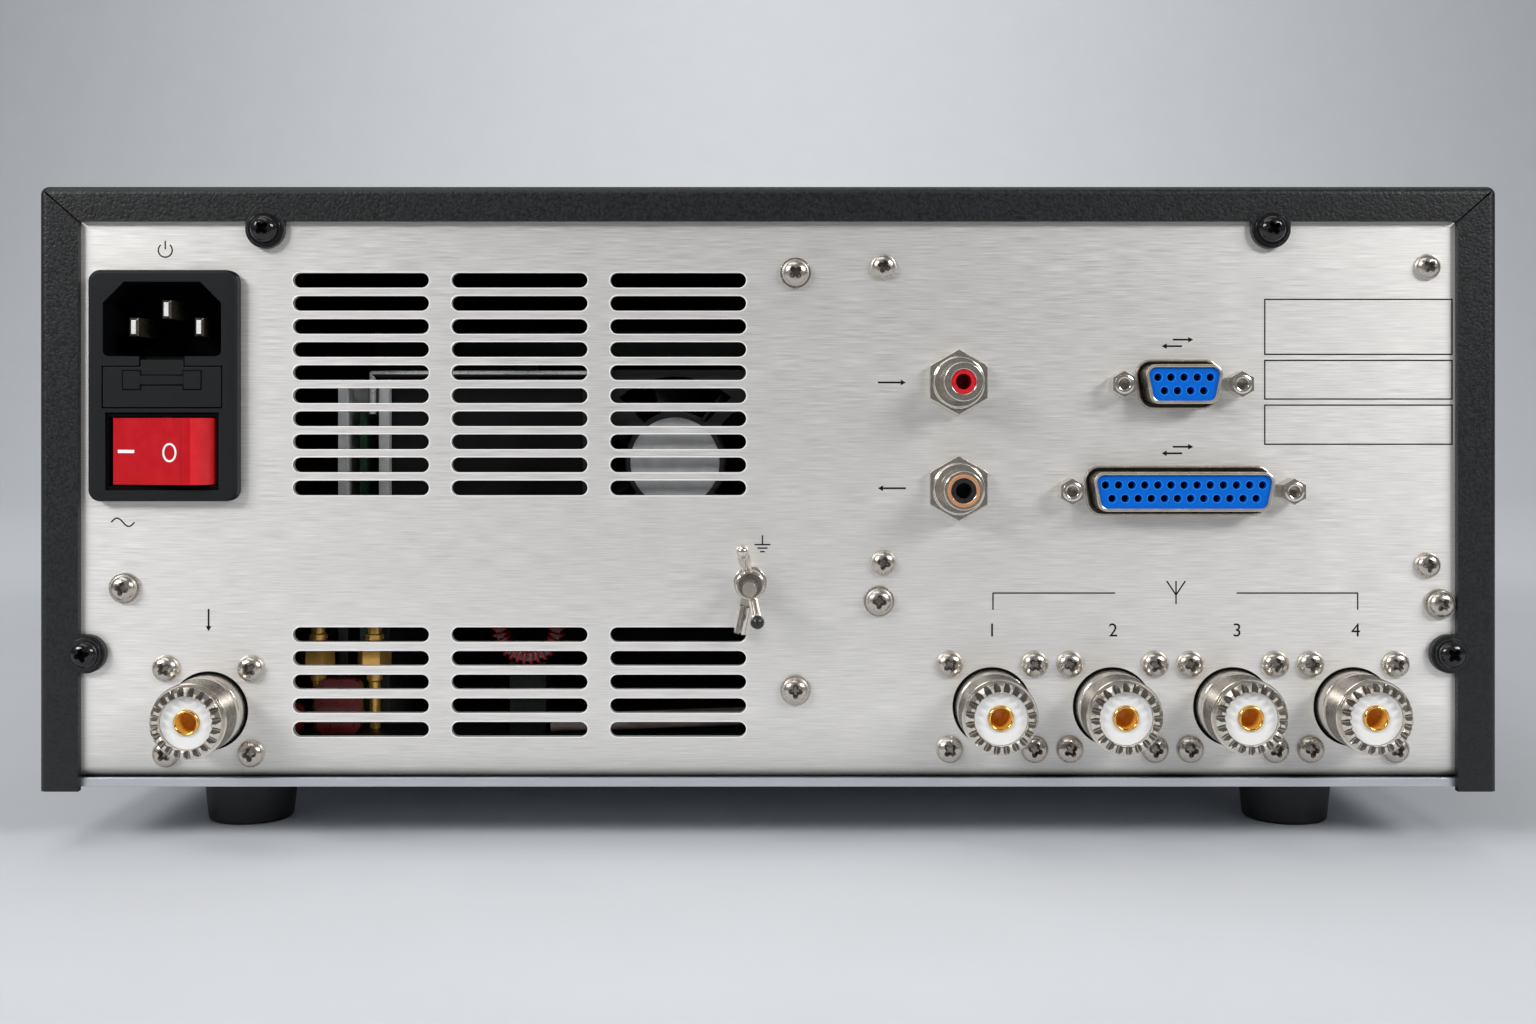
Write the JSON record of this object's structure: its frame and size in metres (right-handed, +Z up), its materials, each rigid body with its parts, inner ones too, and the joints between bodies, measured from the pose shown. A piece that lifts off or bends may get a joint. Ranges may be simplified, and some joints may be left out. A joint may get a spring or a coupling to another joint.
{
  "type": "hf linear amplifier",
  "caption": "Desktop radio-frequency power amplifier in a folded case, rear panel with slots, mains inlet and rocker, coax sockets, phono jacks, D-shaped ports and an earth stud.",
  "frame": {"origin": "centre of the whole part's box in plan, at the underside of the feet", "axes": "+Z up, -Y out of the rear panel with its sockets, +X to the right seen from the rear"},
  "size_m": [0.312, 0.3214, 0.1422],
  "materials": {
    "cover_coat": "fine-textured black powder coat",
    "panel_metal": "brushed along the width",
    "tray_metal": "plain mill finish",
    "fascia_coat": "satin black",
    "window": "smoked, glossy",
    "module": "moulded",
    "key_plastic": "moulded, satin",
    "foot_rubber": "moulded, matt",
    "screw_steel": "plated, bright",
    "black_screws": "black plated",
    "nickel": "warm nickel plate",
    "white_insulator": "smooth white",
    "gilt": "gold plate",
    "inlet_plastic": "fine-textured black moulding",
    "fuse_glass": "clear tube with metal caps",
    "rocker_red": "glossy red",
    "red_insulator": "glossy red",
    "black_insulator": "glossy black",
    "blue_insert": "moulded blue",
    "supply_steel": "plated sheet",
    "board": "green circuit board",
    "fan_plastic": "moulded black",
    "sink_metal": "extruded, plain",
    "component_dark": "moulded",
    "toroid_wire": "red enamelled wire on a grey core",
    "dipped_red": "dipped dark red",
    "harness": "wire sleeving"
  },
  "bodies": {
    "chassis": {"cover": "cover_coat", "rear_panel": "panel_metal", "chassis_tray": "tray_metal", "front_panel": "fascia_coat", "display_window": "window", "display_module": "module", "rubber_feet": "foot_rubber", "coax_screws": "screw_steel", "panel_screws": "screw_steel", "panel_screw_washers": "screw_steel", "foot_screws": "screw_steel", "cover_screws": "black_screws", "cover_washers": "black_screws", "rf_input_socket": "nickel", "antenna_sockets": "nickel", "key_in_jack": "nickel", "key_out_jack": "nickel", "jack_nuts": "nickel", "port_9_shell": "nickel", "port_25_shell": "nickel", "jackscrews": "nickel", "inlet_blades": "nickel", "ground_stud": "nickel", "ground_washer": "nickel", "ring_lug": "nickel", "coax_insulators": "white_insulator", "coax_contacts": "gilt", "brass_connectors": "gilt", "inlet_housing": "inlet_plastic", "key_in_insulator": "red_insulator", "key_out_insulator": "black_insulator", "port_9_insert": "blue_insert", "port_25_insert": "blue_insert", "power_supply_case": "supply_steel", "supply_plates": "supply_steel", "supply_rod": "supply_steel", "driver_board": "board", "amplifier_board": "board", "antenna_board": "board", "control_board": "board", "input_board": "board", "key_board": "board", "fan_frame": "fan_plastic", "heat_sink": "sink_metal", "power_transistors": "component_dark", "antenna_relays": "component_dark", "toroid": "toroid_wire", "dipped_capacitors": "dipped_red", "wire_harness": "harness"},
    "rocker": {"power_rocker": "rocker_red"},
    "drawer": {"fuse_drawer": "inlet_plastic", "fuse_link": "fuse_glass"},
    "wing_nut": {"wing_nut": "nickel"},
    "fan": {"fan_rotor": "fan_plastic"},
    "power_key": {"power_key": "key_plastic"},
    "band_key_1": {"band_key_1": "key_plastic"},
    "band_key_2": {"band_key_2": "key_plastic"},
    "band_key_3": {"band_key_3": "key_plastic"},
    "band_key_4": {"band_key_4": "key_plastic"}
  },
  "joints": [
    {"name": "rocker_tilt", "type": "hinge", "parent": "chassis", "child": "rocker", "pos_m": [-0.12905, -0.1437, 0.0855], "axis": [0, 0, 1], "range_deg": [0, 18]},
    {"name": "drawer_slide", "type": "slide", "parent": "chassis", "child": "drawer", "axis": [0, -1, 0], "range_m": [0, 0.016]},
    {"name": "wing_nut_turn", "type": "hinge", "parent": "chassis", "child": "wing_nut", "pos_m": [-0.0038, -0.1487, 0.0572], "axis": [0, 1, 0], "continuous": true},
    {"name": "fan_spin", "type": "hinge", "parent": "chassis", "child": "fan", "pos_m": [-0.0202, -0.1312, 0.083], "axis": [0, 1, 0], "continuous": true},
    {"name": "band_key_1_press", "type": "slide", "parent": "chassis", "child": "band_key_1", "axis": [0, -1, 0], "range_m": [0, 0.0012], "stiffness_N_per_m": 400, "springref_m": -0.0004},
    {"name": "band_key_2_press", "type": "slide", "parent": "chassis", "child": "band_key_2", "axis": [0, -1, 0], "range_m": [0, 0.0012], "stiffness_N_per_m": 400, "springref_m": -0.0004},
    {"name": "band_key_3_press", "type": "slide", "parent": "chassis", "child": "band_key_3", "axis": [0, -1, 0], "range_m": [0, 0.0012], "stiffness_N_per_m": 400, "springref_m": -0.0004},
    {"name": "band_key_4_press", "type": "slide", "parent": "chassis", "child": "band_key_4", "axis": [0, -1, 0], "range_m": [0, 0.0012], "stiffness_N_per_m": 400, "springref_m": -0.0004},
    {"name": "power_key_press", "type": "slide", "parent": "chassis", "child": "power_key", "axis": [0, -1, 0], "range_m": [0, 0.0012], "stiffness_N_per_m": 400, "springref_m": -0.0004}
  ]
}
